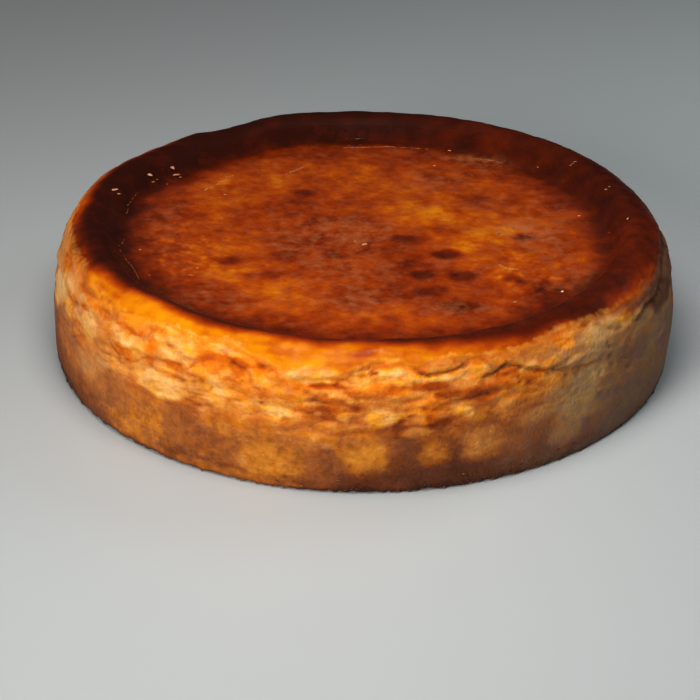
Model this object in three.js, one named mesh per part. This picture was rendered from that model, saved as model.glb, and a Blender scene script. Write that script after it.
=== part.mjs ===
// A whole baked cheesecake with a burnt top, as one solid.
// The batter rose in a paper-lined round tin and sank again as it cooled. It left a nearly upright side, a soft
// rounded shoulder, a raised rim all round and a shallow sunken floor inside the rim.
// Millimetres, +Z up. The origin is on the surface the cake stands on, under the middle of its outline.
// Angles are in degrees about +Z, counted anticlockwise from +X, so that the front of the cake is at 270.

import * as THREE from "three";

// Driving dimensions.
const BASE_RADIUS = 120.6; // the edge of the flat underside
const BASE_EDGE = 0.6; // the rounded bottom edge
const SIDE_RADIUS = 121; // the side at its widest
const SIDE_HEIGHT = 20; // where the side is widest
const SHOULDER_RADIUS = 120.2; // where the side starts to turn in
const SHOULDER_HEIGHT = 34;
const CREST_RADIUS = 106; // the top of the rim
const CREST_HEIGHT = 54;
const RIM_FOOT_RADIUS = 94; // where the rim's inner slope meets the sunken floor
const FLOOR_HEIGHT = 45.5; // the sunken floor
const CREST_ROUNDNESS = 0.55; // how far the top of the rim stays level, as a share of the rim's width
const FOOT_ROUNDNESS = 0.3; // how far the floor starts to turn up, as a share of the rim's width

// How finely the solid is faceted.
const COLUMNS = 120;
const SIDE_ROWS = 8;
const SHOULDER_ROWS = 9;
const RIM_ROWS = 8;
const FLOOR_ROWS = 5;

// Where the rim rises above or dips below its usual height: angle, half-width in degrees, rise in mm.
const RIM_WAVES = [
  { angle: 45, spread: 20, rise: 0.9 },
  { angle: 90, spread: 13, rise: -0.9 },
  { angle: 121, spread: 6, rise: -2.2 },
  { angle: 139, spread: 8, rise: -1.5 },
  { angle: 182, spread: 12, rise: -1.2 },
  { angle: 232, spread: 16, rise: 0.6 },
  { angle: 300, spread: 18, rise: -0.7 },
];

// Where the paper pressed the side in or let it bulge: the angle and height of the middle of each place, its
// half-width in degrees, its half-height in mm, and how far it moves out (or in, below 0).
const SIDE_WAVES = [
  { angle: 350, spread: 22, height: 22, reach: 20, push: 2.8 },
  { angle: 62, spread: 12, height: 40, reach: 14, push: -0.8 },
  { angle: 100, spread: 18, height: 30, reach: 25, push: 0.7 },
  { angle: 121, spread: 5, height: 50, reach: 12, push: -1.5 },
  { angle: 140, spread: 5, height: 50, reach: 12, push: -1.2 },
  { angle: 186, spread: 13, height: 43, reach: 8, push: -1.7 },
  { angle: 262, spread: 11, height: 20, reach: 20, push: 0.5 },
  { angle: 318, spread: 9, height: 30, reach: 16, push: -0.6 },
];

// Torn folds that run round the side below the shoulder: the angles where each starts and ends, its height at
// either end and the lift between them, its depth, and how far the batter above it hangs out over it.
const TEARS = [
  { from: 258, to: 297, start: 45.5, end: 47, lift: 2.5, depth: 1.4, overhang: 0.8 },
  { from: 294, to: 322, start: 39.5, end: 38.5, lift: 3.5, depth: 1.8, overhang: 1.2 },
  { from: 314, to: 356, start: 47, end: 44.5, lift: 1, depth: 2, overhang: 1.2 },
  { from: 215, to: 256, start: 44, end: 41, lift: 2, depth: 1, overhang: 0.6 },
  { from: 20, to: 74, start: 43, end: 45, lift: 2, depth: 1.6, overhang: 1 },
  { from: 96, to: 150, start: 44, end: 42, lift: 2.5, depth: 1.4, overhang: 0.8 },
];
const TEAR_HALF_HEIGHT = 2.2;

// The slow waves of the sunken floor: their height, and the length and start of each across and towards the back.
const RIPPLE_HEIGHT = 0.5;
const RIPPLE_ACROSS = { length: 19, start: 0.6 };
const RIPPLE_BACK = { length: 23, start: 1.1 };

// 1 at the middle of a feature, falling smoothly to 0 well outside it.
const bell = (distance, spread) => Math.exp(-0.5 * (distance / spread) ** 2);

// The shorter way round from one angle to another, in degrees.
const turnBetween = (a, b) => ((((a - b) % 360) + 540) % 360) - 180;

// How much of a wave reaches a given angle.
const shareAt = (angle, wave) => bell(turnBetween(angle, wave.angle), wave.spread);

const rimRiseAt = (angle) => RIM_WAVES.reduce((sum, wave) => sum + wave.rise * shareAt(angle, wave), 0);

const sidePushAt = (angle, height) =>
  SIDE_WAVES.reduce(
    (sum, wave) => sum + wave.push * shareAt(angle, wave) * bell(height - wave.height, wave.reach),
    0,
  );

// How far the side moves out (or in, below 0) at a tear, for a point on it.
function tearAt(angle, height) {
  let out = 0;
  for (const tear of TEARS) {
    const along = ((((angle - tear.from) % 360) + 360) % 360) / (tear.to - tear.from);
    if (along > 1) continue;
    const swell = Math.sin(Math.PI * along);
    const middle = THREE.MathUtils.lerp(tear.start, tear.end, along) + tear.lift * swell;
    const above = height - middle;
    out -= tear.depth * swell * bell(above, TEAR_HALF_HEIGHT);
    out += tear.overhang * swell * bell(above - 2 * TEAR_HALF_HEIGHT, TEAR_HALF_HEIGHT);
  }
  return out;
}

// The outline from the axis below, round the side and the rim, and back to the axis on the sunken floor.
function outline() {
  const side = new THREE.SplineCurve([
    new THREE.Vector2(BASE_RADIUS, BASE_EDGE),
    new THREE.Vector2(SIDE_RADIUS, SIDE_HEIGHT),
    new THREE.Vector2(SHOULDER_RADIUS, SHOULDER_HEIGHT),
  ]);
  const shoulder = new THREE.EllipseCurve(
    CREST_RADIUS,
    SHOULDER_HEIGHT,
    SHOULDER_RADIUS - CREST_RADIUS,
    CREST_HEIGHT - SHOULDER_HEIGHT,
    0,
    Math.PI / 2,
  );
  const rimWidth = CREST_RADIUS - RIM_FOOT_RADIUS;
  const innerSlope = new THREE.CubicBezierCurve(
    new THREE.Vector2(CREST_RADIUS, CREST_HEIGHT),
    new THREE.Vector2(CREST_RADIUS - CREST_ROUNDNESS * rimWidth, CREST_HEIGHT),
    new THREE.Vector2(RIM_FOOT_RADIUS + FOOT_ROUNDNESS * rimWidth, FLOOR_HEIGHT),
    new THREE.Vector2(RIM_FOOT_RADIUS, FLOOR_HEIGHT),
  );
  const floor = [];
  for (let i = 1; i < FLOOR_ROWS; i++)
    floor.push(new THREE.Vector2(RIM_FOOT_RADIUS * (1 - i / FLOOR_ROWS), FLOOR_HEIGHT));
  return [
    new THREE.Vector2(0, 0),
    new THREE.Vector2(BASE_RADIUS - BASE_EDGE, 0),
    ...side.getPoints(SIDE_ROWS),
    ...shoulder.getPoints(SHOULDER_ROWS).slice(1),
    ...innerSlope.getPoints(RIM_ROWS).slice(1),
    ...floor,
    new THREE.Vector2(0, FLOOR_HEIGHT),
  ];
}

// How far the sunken floor rises or dips at a point.
function floorRippleAt(x, y) {
  const across = Math.sin(x / RIPPLE_ACROSS.length + RIPPLE_ACROSS.start);
  const back = Math.sin(y / RIPPLE_BACK.length + RIPPLE_BACK.start);
  return RIPPLE_HEIGHT * across * back;
}

// Moves one point of the round body to where it lies on the uneven one.
function unevenPoint(point) {
  const radius = Math.hypot(point.x, point.y);
  const turn = Math.atan2(point.y, point.x);
  const angle = THREE.MathUtils.radToDeg(turn);
  const outer = THREE.MathUtils.smoothstep(radius, 0, SIDE_RADIUS);
  const onRim = bell(radius - CREST_RADIUS, CREST_RADIUS - RIM_FOOT_RADIUS);
  const onFloor = point.z > FLOOR_HEIGHT / 2 && radius < RIM_FOOT_RADIUS;

  let newRadius = radius + sidePushAt(angle, point.z) * outer;
  if (radius > CREST_RADIUS) newRadius += tearAt(angle, point.z);

  let newHeight = point.z + rimRiseAt(angle) * onRim * (point.z / CREST_HEIGHT);
  if (onFloor) newHeight += floorRippleAt(point.x, point.y) * (1 - outer);

  return new THREE.Vector3(newRadius * Math.cos(turn), newRadius * Math.sin(turn), newHeight);
}

function cakeBody() {
  const geometry = new THREE.LatheGeometry(outline(), COLUMNS).rotateX(Math.PI / 2);
  const places = geometry.getAttribute("position");
  const point = new THREE.Vector3();
  for (let i = 0; i < places.count; i++) {
    point.fromBufferAttribute(places, i);
    const moved = unevenPoint(point);
    places.setXYZ(i, moved.x, moved.y, moved.z);
  }
  geometry.computeBoundingBox();
  const middle = geometry.boundingBox.getCenter(new THREE.Vector3());
  return geometry.translate(-middle.x, -middle.y, 0);
}

const bakedCheesecake = new THREE.MeshStandardMaterial({ color: 0x9c4a14, roughness: 0.45, metalness: 0 });

const cheesecake = new THREE.Mesh(cakeBody(), bakedCheesecake);
cheesecake.name = "cheesecake";

const root = new THREE.Group();
root.add(cheesecake);
export default root;
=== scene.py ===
"""The looks of a whole basque cheesecake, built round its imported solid.

The cake is one closed mesh. It starts as rings round a smooth outline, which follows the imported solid, and
every point is then moved to make the torn folds, lumps, pits and wrinkles that baking and peeling off the
paper left. What moves the points also writes the masks that the material reads, so colour and shape agree.

Sizes are in millimetres until a mesh is made, when they become metres. A bearing is an angle in degrees
round the cake: 0 is the front, 90 the right, -90 the left and 180 the back.
"""

import itertools
import math

import bmesh
import bpy
import numpy as np
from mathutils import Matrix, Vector


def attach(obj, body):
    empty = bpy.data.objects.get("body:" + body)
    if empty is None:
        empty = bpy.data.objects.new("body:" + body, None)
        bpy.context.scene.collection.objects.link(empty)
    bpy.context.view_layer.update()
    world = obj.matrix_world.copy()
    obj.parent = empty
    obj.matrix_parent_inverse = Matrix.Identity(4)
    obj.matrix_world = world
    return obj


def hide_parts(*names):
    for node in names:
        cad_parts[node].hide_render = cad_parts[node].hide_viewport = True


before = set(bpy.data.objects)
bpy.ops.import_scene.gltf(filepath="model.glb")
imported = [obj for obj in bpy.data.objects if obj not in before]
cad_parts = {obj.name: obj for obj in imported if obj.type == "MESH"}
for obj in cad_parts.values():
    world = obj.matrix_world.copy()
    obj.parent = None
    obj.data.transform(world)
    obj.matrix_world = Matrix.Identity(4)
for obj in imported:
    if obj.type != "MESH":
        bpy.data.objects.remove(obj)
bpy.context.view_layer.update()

MM = 0.001

# ---------------------------------------- driving sizes, mm
BASE_RADIUS = 120.6
BASE_EDGE = 0.6
SIDE_RADIUS = 121.0
SIDE_HEIGHT = 20.0
SHOULDER_RADIUS = 120.2
SHOULDER_HEIGHT = 34.0
CREST_RADIUS = 106.0
CREST_HEIGHT = 54.0
FOOT_RADIUS = 94.0
FLOOR_HEIGHT = 45.5
CREST_ROUNDNESS = 0.55
FOOT_ROUNDNESS = 0.3

# Where the rim rises or dips: bearing, half-width in degrees, rise.
RIM_WAVES = [
    (135, 20, 0.9), (180, 13, -0.9), (-149, 6, -2.2), (-131, 8, -1.5), (-88, 12, -1.2), (-38, 16, 0.6),
    (30, 18, -0.7),
]

# Where the side bulges or is pressed in: bearing, height, half-width in degrees, half-height, push.
SIDE_WAVES = [
    (80, 22, 22, 20, 2.8), (152, 40, 12, 14, -0.8), (-170, 30, 18, 25, 0.7), (-149, 50, 5, 12, -1.5),
    (-130, 50, 5, 12, -1.2), (-84, 43, 13, 8, -1.7), (-8, 20, 11, 20, 0.5), (48, 30, 9, 16, -0.6),
]

# Where the glossy skin of the top ends on the side: bearing, height, how far it stands out.
SKIN_EDGE = [
    (-180, 49, 0.5), (-160, 47.5, 0.3), (-140, 49.5, 0.7), (-120, 48, 0.4), (-100, 50, 0.5), (-80, 50, 0.3),
    (-70, 50.2, 0.2), (-62, 48.5, 0.3), (-54, 47.6, 0.2), (-46, 48, 0.2), (-41, 49.5, 0.5), (-37, 51, 0.6),
    (-30, 50.2, 0.4), (-25, 50.8, 0.3), (-18, 49, 0.2), (-13.5, 46.2, 0.4), (-9, 48, 0.9), (-5, 48.3, 0.9),
    (-2, 47.3, 0.7), (0, 48.2, 0.8), (2, 49.8, 0.9), (7, 50, 0.9), (9.5, 48.8, 0.7), (12, 49.6, 0.5),
    (16, 50.2, 0.5), (20, 49.8, 0.5), (24, 49.2, 0.4), (29, 49.6, 0.4), (35, 50, 0.4), (41, 50.3, 0.3),
    (46, 49.8, 0.3), (52, 48.9, 0.3), (58, 48.2, 0.4), (64, 48.4, 0.5), (72, 48.8, 0.6), (84, 49.4, 0.5),
    (100, 48, 0.5), (120, 50, 0.6), (140, 48.5, 0.4), (160, 50, 0.6), (180, 49, 0.5),
]

# Torn folds: the (bearing, height) points they run through from left to right, their depth, and how far the
# batter above hangs out over them.
TEARS = [
    ([(9, 48), (11.5, 46), (13.5, 46.4), (16.5, 47.3), (19.5, 48.8)], 1.5, 0.7),
    ([(9, 49), (12, 47.6), (14, 47.9), (17, 49), (19, 49.8)], 0.6, 0.3),
    (
        [(20.5, 43), (23.5, 44), (26, 45.9), (28, 45), (31, 42.4), (34, 40.4), (37, 40.9), (40, 40.4)],
        1.2,
        0.7,
    ),
    ([(33, 40), (36.5, 38.9), (40, 37.4), (43.5, 35.9), (46, 35.9), (48, 35.2)], 0.8, 0.5),
    ([(43, 50), (46, 48.6), (49.5, 46.2), (52, 43.2), (54.5, 42.6)], 0.5, 0.2),
    ([(58.2, 41.6), (60, 42.6), (63, 43.8), (67, 43.6), (72, 45), (77, 47), (82, 47.6)], 2.8, 1.1),
    ([(-2, 38.3), (1.5, 38.9), (5, 38.2), (9.5, 37.6), (12, 38)], 0.5, 0.3),
    ([(-12, 35), (-9, 36.6), (-6, 37.4), (-2.5, 36.2)], 0.45, 0.3), ([(5, 31.8), (8, 33)], 0.4, 0.2),
    ([(6.5, 27), (10, 27.6), (13.5, 28), (16, 30.2)], 0.45, 0.35),
    ([(13, 35.6), (17, 35.2), (21, 37.2), (24, 38.2)], 0.5, 0.3),
    ([(-55, 46), (-52.5, 46.8), (-49.5, 45.2)], 0.8, 0.4),
    ([(-49.5, 38.5), (-46, 38.4), (-43.5, 39.8), (-41, 41.5)], 0.6, 0.5),
    ([(-41.5, 38.4), (-38, 39.6), (-34.5, 41), (-31, 41.6)], 0.7, 0.6),
    ([(-67, 49.2), (-62, 48.2), (-57, 49.4)], 0.5, 0.3),
    ([(-60, 42.5), (-57.5, 41.2), (-56, 42.8)], 0.6, 0.4),
    ([(-25, 44), (-22, 45.6), (-19.5, 44)], 0.5, 0.4),
    ([(-48, 46.6), (-44.5, 45.4), (-41.5, 44.8), (-38.5, 45.6)], 0.7, 0.5),
    ([(-37, 46), (-33.5, 45.4), (-30, 43.4)], 0.7, 0.5),
    ([(-66, 41.5), (-63, 39.8), (-60.5, 37.4)], 0.6, 0.4),
    ([(-52, 42.4), (-49, 41.2), (-46, 40.8)], 0.5, 0.4), ([(-32, 38), (-28, 37), (-24.5, 37.6)], 0.5, 0.4),
    ([(-20, 47.2), (-16.5, 46), (-13.5, 46.4)], 0.5, 0.4),
    ([(-13.5, 44.5), (-9, 44), (-4, 45), (0, 44)], 0.5, 0.4),
    ([(8, 43.6), (12, 43.2), (16, 43.4), (19, 44.2)], 0.6, 0.4),
    ([(27, 20), (30.5, 20.6), (33.5, 19.4)], 0.4, 0.3),
    ([(45.5, 22.5), (49, 21.4), (52.5, 18.8)], 0.5, 0.3), ([(66, 26), (70, 25), (73, 22)], 0.4, 0.3),
    ([(52, 31.6), (54.5, 30.4), (57, 29.4)], 0.5, 0.3),
]

# Flakes and lumps of pale torn crumb: bearing, height, half-width in degrees, half-height, how far they
# stand out, paleness.
LUMPS = [
    (-7.5, 46.4, 5.4, 1.5, 0.7, 0.9), (3, 47.4, 4.8, 2, 0.9, 0.75), (7.5, 44, 1.6, 1.2, 0.4, 0.3),
    (16, 47, 6.6, 1.9, 0.8, 0.55), (12.5, 44.8, 4.4, 0.9, 0.5, 0.8), (-37.5, 49.2, 3.6, 1.2, 0.5, 0.8),
    (-34.5, 47.4, 4, 1.5, 0.5, 0.8), (-32, 44.8, 2.8, 1.3, 0.4, 0.7), (-26, 49.4, 3.4, 0.9, 0.3, 0.8),
    (-45.5, 41.6, 4.2, 1.8, 0.7, 0.8), (-57.5, 38, 2.4, 4.4, 0.6, 0.6), (-70, 44, 2.6, 2.4, 0.5, 0.5),
    (29, 43.2, 3.6, 0.7, 0.5, 0.5), (38, 39.8, 3.6, 0.9, 0.5, 0.4), (31, 47.4, 5.5, 1.8, 0.4, 0.3),
    (47.5, 47.2, 4.6, 2, 0.4, 0.5), (55.5, 46, 2.8, 1.7, 0.4, 0.2), (10.5, 25, 3, 1.6, 0.2, 0.2),
    (66, 47, 7, 1.4, 0.6, 0), (3.4, 30.5, 2.6, 3, 0.4, 0.5), (18.2, 30.8, 1.5, 2, 0.4, 1),
    (-6.5, 22.5, 1.8, 1.6, 0.3, 0.4), (-35, 31.5, 5.5, 3.2, 0.2, 0.9), (-20, 33, 3, 1.8, 0.2, 0.4),
    (-14, 31, 2.8, 2, 0.2, 0.9), (-53, 27, 2, 4, 0.2, 0.4), (-49, 43.6, 2.4, 1, 0.3, 0.7),
    (-41, 44.4, 2.2, 1, 0.3, 0.6), (-61, 44, 2, 1.4, 0.3, 0.6), (-23.5, 41, 2.6, 1.2, 0.3, 0.4),
]

# The side's look, place by place: bearing, height, half-width in degrees, half-height, how far it is baked
# (0, cream, to 1, nearly black), how orange its juices stained it, how dull (1 is pinkish, 2 greyish too).
# Dullness near 2, on the right from about 28 to 75, greys the crumb as painted shade of the side away from
# the light.
SIDE_PLACES = [
    (-76, 46, 4, 3.5, 0.54, 0.7, 0), (-78, 34, 4, 5, 0.2, 0, 1.05), (-73, 38, 3.5, 3.6, 0.23, 0, 0.95),
    (-69.4, 43, 1.5, 1.7, 0.34, 0, 0.7), (-66, 40.6, 1.8, 1.9, 0.55, 0.5, 0),
    (-66, 35.5, 3.6, 2.8, 0.4, 0.1, 0.4), (-61.5, 47.8, 3.4, 1.4, 0.6, 1, 0),
    (-59.6, 42.3, 1.9, 1.4, 0.54, 0.6, 0), (-62, 31.5, 3, 4.8, 0.57, 0.2, 0.3),
    (-61.2, 38, 1.6, 2, 0.38, 0.2, 1.3), (-57.2, 37.6, 2.4, 5.2, 0.29, 0, 0.9),
    (-57, 45.4, 2.4, 1.4, 0.48, 0.7, 0), (-53.2, 45.2, 1.8, 1.7, 0.54, 0.7, 0),
    (-52.4, 33, 2, 5, 0.5, 0.05, 0.5), (-50.5, 41, 1.4, 1.9, 0.47, 0.9, 0.3),
    (-46.8, 42.2, 3, 2, 0.36, 0, 0.5), (-45, 45.6, 3.4, 1.2, 0.46, 0.8, 0),
    (-46.5, 36.2, 2.8, 2.5, 0.52, 0.9, 0), (-47, 30, 2.6, 3.6, 0.46, 0.1, 0.5),
    (-41.5, 38, 1.4, 2, 0.42, 0.2, 0.3), (-39.2, 43.5, 1.2, 2.4, 0.42, 1, 0),
    (-37.4, 48, 1.6, 2, 0.29, 0, 0.5), (-34, 43.2, 3, 2.6, 0.31, 0, 0.5),
    (-32.5, 47.5, 1.7, 1.6, 0.36, 0.4, 0), (-36.6, 31, 5.4, 4.8, 0.26, 0, 0.5),
    (-39.2, 37.6, 1, 1.6, 0.54, 1, 0), (-34.4, 39.7, 2.1, 1.4, 0.5, 0.8, 0),
    (-35.5, 35.6, 2.6, 0.9, 0.5, 0.6, 0.2), (-29.5, 34.2, 1.7, 2.2, 0.4, 0.1, 0.7),
    (-29.4, 39.4, 1.8, 2, 0.42, 0.4, 0.2), (-26.2, 44.7, 2.4, 3.4, 0.48, 1, 0),
    (-24.5, 49, 2.8, 1.1, 0.33, 0, 0.5), (-21.6, 45, 1.6, 2.1, 0.54, 1, 0),
    (-22, 39.8, 2.2, 1.9, 0.5, 0.8, 0), (-22, 35.4, 3, 2.4, 0.46, 0.5, 0.1),
    (-25.5, 34, 2, 4, 0.34, 0, 0.3), (-16.2, 45, 2.2, 2.4, 0.45, 0.85, 0),
    (-17.6, 41.4, 2, 1.6, 0.38, 0.2, 0.2), (-18, 37.6, 2.4, 1.6, 0.5, 0.6, 0.1),
    (-58, 21.5, 4.6, 4.4, 0.44, 0, 1.2), (-53, 26, 2.8, 3, 0.4, 0, 1.1), (-64, 18.6, 3, 4, 0.63, 0.05, 0.4),
    (-70, 22, 3, 4, 0.56, 0.1, 0.4), (-50, 18.8, 2, 6.4, 0.67, 0.05, 0.6),
    (-45, 6.6, 5.4, 4.6, 0.54, 0.5, 0), (-41, 23.6, 2.4, 2.2, 0.6, 0.6, 0.6),
    (-40, 14, 3.6, 4, 0.59, 0.4, 0.1), (-33, 19.4, 3.4, 4.6, 0.68, 0.15, 0.5),
    (-28, 14.6, 3, 5, 0.71, 0.05, 0.3), (-60, 8, 4, 5, 0.76, 0.3, 0), (-68, 10, 4, 5, 0.71, 0.1, 0.1),
    (-76, 12, 4, 9, 0.76, 0.1, 0.3), (-24, 2.4, 13, 1.8, 0.6, 0.3, 0.2), (-73, 1.6, 9, 2.6, 1.1, 0, 0),
    (-8.6, 45.8, 4, 2.1, 0.31, 0, 0.4), (-5.8, 42.5, 2.4, 1, 0.64, 1, 0),
    (-12, 41.3, 2.6, 1.4, 0.45, 0.7, 0), (-12, 37.4, 2.4, 1.3, 0.5, 0.6, 0.1),
    (-5.4, 34, 5.6, 3.8, 0.6, 0.7, 0.2), (-1.5, 31.4, 1.8, 1.6, 0.46, 0.3, 0.3),
    (-8.6, 35.4, 1.6, 0.9, 0.4, 0.1, 0.6), (-14, 31.4, 3, 2.6, 0.29, 0, 0.5),
    (-9.6, 27.6, 3, 1.8, 0.47, 0.4, 0.4), (-18.4, 24.4, 4, 2.8, 0.59, 0.3, 0.1),
    (-6.5, 22.6, 2.4, 2.4, 0.53, 0.2, 0.1), (-15, 10, 4.8, 6.4, 0.53, 0.9, 0),
    (-6.2, 10, 2.6, 7.4, 0.72, 0, 0.4), (1, 14.6, 3.6, 5.4, 0.44, 0.9, 0),
    (7.6, 14, 2.5, 8.4, 0.79, 0.1, 0.4), (5, 5, 3.6, 3.2, 0.84, 0.2, 0.4),
    (12.8, 14.6, 2.3, 4.8, 0.55, 0.8, 0), (16, 7, 9, 3.4, 0.88, 0, 0.5), (31, 8, 6, 4, 0.86, 0, 1.2),
    (17.2, 12, 1.4, 7, 0.86, 0.2, 0.3), (0, 40.2, 2.6, 1.4, 0.51, 0.9, 0.3),
    (5.2, 44.8, 4.4, 3.8, 0.33, 0.6, 0), (3, 48, 3.6, 1.5, 0.26, 0, 0.2),
    (2.2, 47.1, 0.8, 0.6, 0.7, 0.3, 0), (4.8, 41.8, 2.6, 1.7, 0.48, 1, 0), (12.2, 44.9, 3, 1, 0.33, 0, 0),
    (17.9, 46.2, 2.8, 2.8, 0.36, 0.2, 0), (12, 41.8, 3.4, 1.3, 0.68, 1, 0),
    (11.6, 33.4, 3.4, 4.2, 0.46, 0.8, 0), (15.6, 38.8, 2.4, 1.4, 0.62, 0.8, 0.1),
    (3.5, 31.2, 2.3, 2.7, 0.33, 0, 0.2), (6.8, 25.8, 1.3, 2.6, 0.7, 0.4, 0),
    (9.7, 24.8, 2.2, 1.6, 0.44, 0.1, 0.7), (13.7, 27.4, 2, 2.5, 0.72, 0.6, 0),
    (17.6, 31.1, 1.7, 2.6, 0.29, 0, 0.2), (16, 23.4, 1.8, 2.4, 0.63, 0.3, 0.2),
    (20.8, 37.5, 3.1, 2.9, 0.65, 0.8, 0.4), (23, 25.8, 2.2, 2.6, 0.63, 0, 0.3),
    (25.2, 30.4, 1.6, 4.2, 0.46, 0.1, 0.3), (21.5, 17.2, 3.4, 5.4, 0.37, 0, 0.9),
    (26, 41.4, 2, 2.4, 0.58, 1, 0), (29.6, 38.7, 3.6, 2.4, 0.57, 0.9, 0),
    (31, 34.4, 5, 2.8, 0.47, 0.4, 0.2), (30.5, 46, 4, 1.8, 0.49, 0, 0.1),
    (34, 42.6, 2.6, 1.2, 0.48, 0.1, 0.1), (38.8, 47.4, 2, 2.4, 0.36, 0.6, 0),
    (39, 40.1, 3.3, 1.4, 0.26, 0, 1.3), (31, 22.5, 3, 3.2, 0.37, 0, 1.3), (28.5, 13, 2.4, 6, 0.68, 0, 1.2),
    (36, 28, 2.2, 4.2, 0.42, 0, 1.3), (33.6, 11, 1.8, 6, 0.8, 0.2, 1.2), (41.5, 23, 4.6, 8, 0.24, 0, 1.8),
    (38.5, 12, 3, 5, 0.38, 0, 1.8), (48, 45.4, 4, 3.4, 0.2, 0, 1), (46, 38.4, 4, 2.6, 0.32, 0, 1.8),
    (45, 31, 4.4, 3.6, 0.28, 0, 1.6), (48.2, 20, 2.2, 4.4, 0.55, 0, 2),
    (55.6, 44.5, 2.1, 2.3, 0.34, 0.1, 0.1), (59.2, 43.5, 1.2, 1.6, 0.27, 0, 1.3),
    (54, 30, 2.4, 4.6, 0.62, 0, 1.7), (57, 14, 4, 6, 0.62, 0, 2), (60, 29, 2.6, 5, 0.56, 0, 2),
    # (72, 40) is a painted shadow under the torn fold above it.
    (63, 39, 3.6, 2, 0.32, 0, 2), (72, 40, 6.4, 3.6, 1, 0, 1), (61, 47, 3, 1.8, 0.62, 0.1, 0.8),
    (72, 46.8, 7, 2.4, 0.82, 0, 0.9), (35, 49.2, 9, 1.2, 0.42, 0.6, 0), (24, 48.4, 3.6, 1.2, 0.45, 0.4, 0),
    (15, 49.4, 8, 1, 0.46, 0.4, 0), (-46, 48.6, 8, 1.4, 0.44, 0.7, 0), (31, 47.8, 4, 1.4, 0.5, 0.1, 0),
    (1, 49, 4, 1.2, 0.48, 0.6, 0), (66, 30, 3.4, 5, 0.44, 0, 2), (74, 22, 6, 8, 0.78, 0, 2),
    (-5.4, 19.8, 1.1, 0.8, 0.4, 0, 1.3), (-20.3, 9, 0.8, 1.8, 0.44, 0, 1.1),
    (-7, 32.2, 0.6, 0.8, 0.3, 0, 1), (-27.8, 26, 1, 0.7, 0.34, 0, 1), (-16.8, 33.9, 0.4, 0.5, 0.7, 0, 0),
    # (84, 42) and (86, 49) paint the deep shade at the side's right edge.
    (84, 42, 5, 12, 0.8, 0, 1.1), (86, 49, 7, 2.6, 1.05, 0, 0.4), (-33, 12, 0.8, 3, 0.6, 0, 0.5),
    (-12, 20, 2, 1.6, 0.62, 0.2, 0.3), (52, 7, 5, 4, 0.74, 0, 2), (66, 9, 6, 5, 0.72, 0, 2),
]

# How far the side is baked elsewhere: by height, and low down more or less of it by bearing. The steep
# darkening in the lowest 7 mm is partly a burnt bottom edge and partly painted shade at the foot.
SIDE_BAKE = [
    (0, 1.05), (2, 0.95), (4, 0.82), (7, 0.72), (12, 0.65), (22, 0.6), (28, 0.51), (36, 0.46), (43, 0.42),
    (51, 0.38),
]
SIDE_BAKE_ROUND = [
    (-180, 0.04), (-80, 0.1), (-70, 0.08), (-55, 0), (-30, 0), (-10, 0), (5, 0.03), (20, 0.06), (40, 0.04),
    (60, -0.02), (180, 0.04),
]

# Broader changes of the side: bearing, height, half-width in degrees, half-height, more (or less) baked.
# Those at (60, 48), (76, 47.5), (76, 40) and (90, 45) darken the right side as painted shade.
SIDE_TONES_AND_PAINTED_SHADE = [
    (-60, 48, 9, 2.5, 0.05), (-42, 48.5, 9, 2, 0.05), (-8, 48, 9, 2.5, 0.08), (15, 48.5, 8, 2, 0.07),
    (30, 48.5, 7, 2, 0.07), (45, 48.5, 6, 2, 0.05), (60, 48, 6, 2.5, 0.24), (76, 47.5, 8, 3, 0.34),
    (90, 45, 9, 6, 0.26), (16, 44.5, 6, 2, -0.05), (2, 44, 6, 2, -0.04), (-75, 52, 7, 2, 0.05),
    (-76, 35, 7, 6, -0.07), (-62, 31, 6, 5, -0.03), (-45, 33, 6, 3, -0.05), (-15, 28, 5, 3, -0.05),
    (0, 47.5, 7, 2, 0.05), (15, 40, 5, 3, 0.04), (31, 40, 6, 3, -0.07), (45, 38, 7, 5, -0.06),
    (76, 40, 7, 4, 0.08), (46, 28, 7, 5, -0.06), (-76, 27, 7, 4, 0.06), (0, 28, 6, 3, 0.05),
    (15, 21, 6, 4, 0.05), (30, 21, 6, 4, 0.06), (60, 18, 8, 6, -0.05), (14, 9, 8, 5, 0.05),
    (0, 8, 6, 3, 0.06), (30, 8, 7, 4, 0.09), (-75, 8, 8, 6, 0.07),
]

# How orange and how dull the side is all over, by bearing. From about 30 to 90 the dullness passes 1, which
# greys the crumb: painted shade on the side turned away from the light.
SIDE_GLAZE = [
    (-180, 0.2), (-90, 0.05), (-72, 0.05), (-60, 0.22), (-45, 0.3), (-10, 0.36), (15, 0.36), (34, 0.26),
    (48, 0.05), (80, 0), (120, 0.2), (180, 0.2),
]
SIDE_DULLNESS_AND_SHADE = [
    (-180, 0.4), (-75, 1.25), (-60, 1.15), (-50, 0.8), (-25, 0.3), (12, 0.3), (22, 0.6), (30, 1), (40, 1.4),
    (50, 1.65), (72, 1.6), (84, 1.25), (100, 0.85), (125, 0.5), (180, 0.4),
]

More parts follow.
